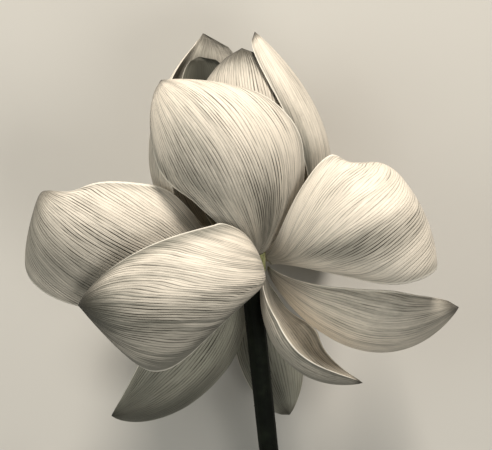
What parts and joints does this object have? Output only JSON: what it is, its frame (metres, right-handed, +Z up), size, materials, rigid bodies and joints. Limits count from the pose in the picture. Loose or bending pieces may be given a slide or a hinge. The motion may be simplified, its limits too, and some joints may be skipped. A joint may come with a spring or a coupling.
{
  "type": "lotus flower",
  "caption": "Half-open lotus bloom with cupped pointed petals, seed receptacle and stamens on a short cut stem, lying on its back.",
  "frame": {"origin": "on the surface that the flower lies on, below the middle of its bounding box", "axes": "+Y along the bloom, from the stem's cut end to the tips of the petals; +Z up from the surface; +X to the right, seen from above with the bloom away from the viewer"},
  "size_m": [0.1939, 0.3076, 0.1136],
  "materials": {
    "petal": "soft satin petal with fine parallel veins",
    "petal_shaded": "darker grey-green petal with fine parallel veins",
    "stem": "matt, almost black green, faintly ribbed",
    "receptacle": "satin, fleshy",
    "stamens": "matt, powdery"
  },
  "bodies": {
    "root": {"stem": "stem", "receptacle": "receptacle", "stamens": "stamens", "petal_front_cup": "petal", "petal_front_inner": "petal", "petal_right_cup": "petal", "petal_left_cup": "petal", "petal_left_inner": "petal_shaded", "petal_left_spread": "petal", "petal_front_spread": "petal", "petal_right_spread": "petal", "petal_right_low": "petal", "petal_right_hanging": "petal", "petal_back_hanging": "petal_shaded", "petal_left_hanging": "petal_shaded", "petal_rest_left": "petal", "petal_rest_right": "petal", "petal_back_cup": "petal", "petal_back_inner": "petal"}
  },
  "joints": []
}
